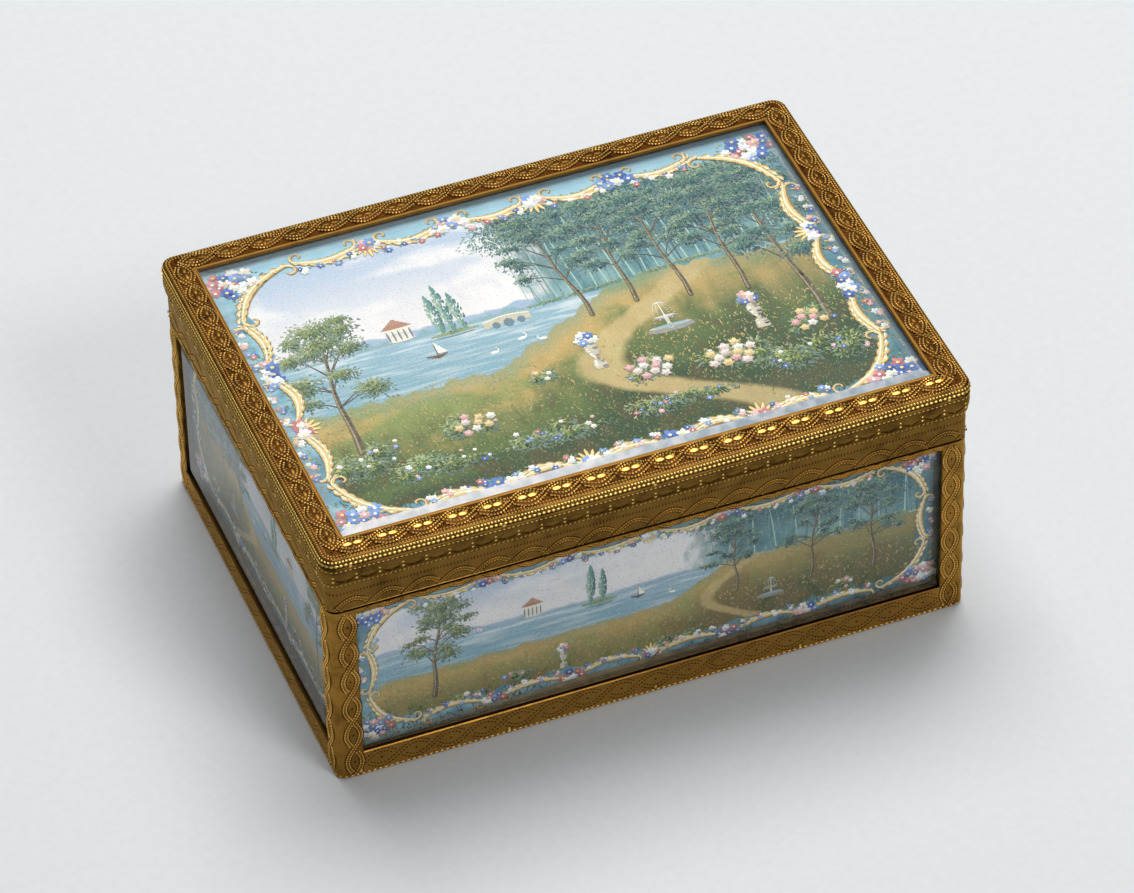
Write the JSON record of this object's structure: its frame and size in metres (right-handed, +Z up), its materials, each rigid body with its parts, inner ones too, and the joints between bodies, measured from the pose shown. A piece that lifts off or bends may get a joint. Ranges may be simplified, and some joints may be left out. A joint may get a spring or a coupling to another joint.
{
  "type": "snuff box",
  "caption": "Rectangular gold cage snuff box with painted panels under bevelled glass, a gold lining and a lid hinged along the back.",
  "frame": {"origin": "middle of the bottom of the closed box's bounding box", "axes": "+X along the length, -Y towards the front with the thumb edge, +Z up"},
  "size_m": [0.0832, 0.0618, 0.0364],
  "materials": {
    "cage_gold": "chased and beaded gold, worn bright on the beads",
    "lining_gold": "polished gold",
    "glass": "clear, bevelled edges",
    "painting": "gouache on vellum, matt",
    "backing_card": "matt"
  },
  "bodies": {
    "body": {"body_cage": "cage_gold", "base_frame": "cage_gold", "body_lining": "lining_gold", "body_bezel": "lining_gold", "body_hinge_leaf": "cage_gold", "hinge_pin": "cage_gold", "front_glass": "glass", "front_miniature": "painting", "front_backing": "backing_card", "back_glass": "glass", "back_miniature": "painting", "back_backing": "backing_card", "left_glass": "glass", "left_miniature": "painting", "left_backing": "backing_card", "right_glass": "glass", "right_miniature": "painting", "right_backing": "backing_card", "base_glass": "glass", "base_miniature": "painting", "base_backing": "backing_card", "base_pin_front_1": "cage_gold", "base_pin_front_2": "cage_gold", "base_pin_front_3": "cage_gold", "base_pin_front_4": "cage_gold", "base_pin_front_5": "cage_gold", "base_pin_back_1": "cage_gold", "base_pin_back_2": "cage_gold", "base_pin_back_3": "cage_gold", "base_pin_back_4": "cage_gold", "base_pin_back_5": "cage_gold"},
    "lid": {"lid_frame": "cage_gold", "lid_band": "cage_gold", "lid_glass": "glass", "lid_miniature": "painting", "lid_backing": "backing_card", "lid_retainer": "cage_gold", "lid_lining": "lining_gold", "lid_hinge_leaf": "cage_gold", "lid_pin_front_1": "cage_gold", "lid_pin_front_2": "cage_gold", "lid_pin_front_3": "cage_gold", "lid_pin_front_4": "cage_gold", "lid_pin_front_5": "cage_gold", "lid_pin_back_1": "cage_gold", "lid_pin_back_2": "cage_gold", "lid_pin_back_3": "cage_gold", "lid_pin_back_4": "cage_gold", "lid_pin_back_5": "cage_gold"}
  },
  "joints": [
    {"name": "lid_hinge", "type": "hinge", "parent": "body", "child": "lid", "pos_m": [0, 0.03, 0.0273], "axis": [-1, 0, 0], "range_deg": [0, 100]}
  ]
}
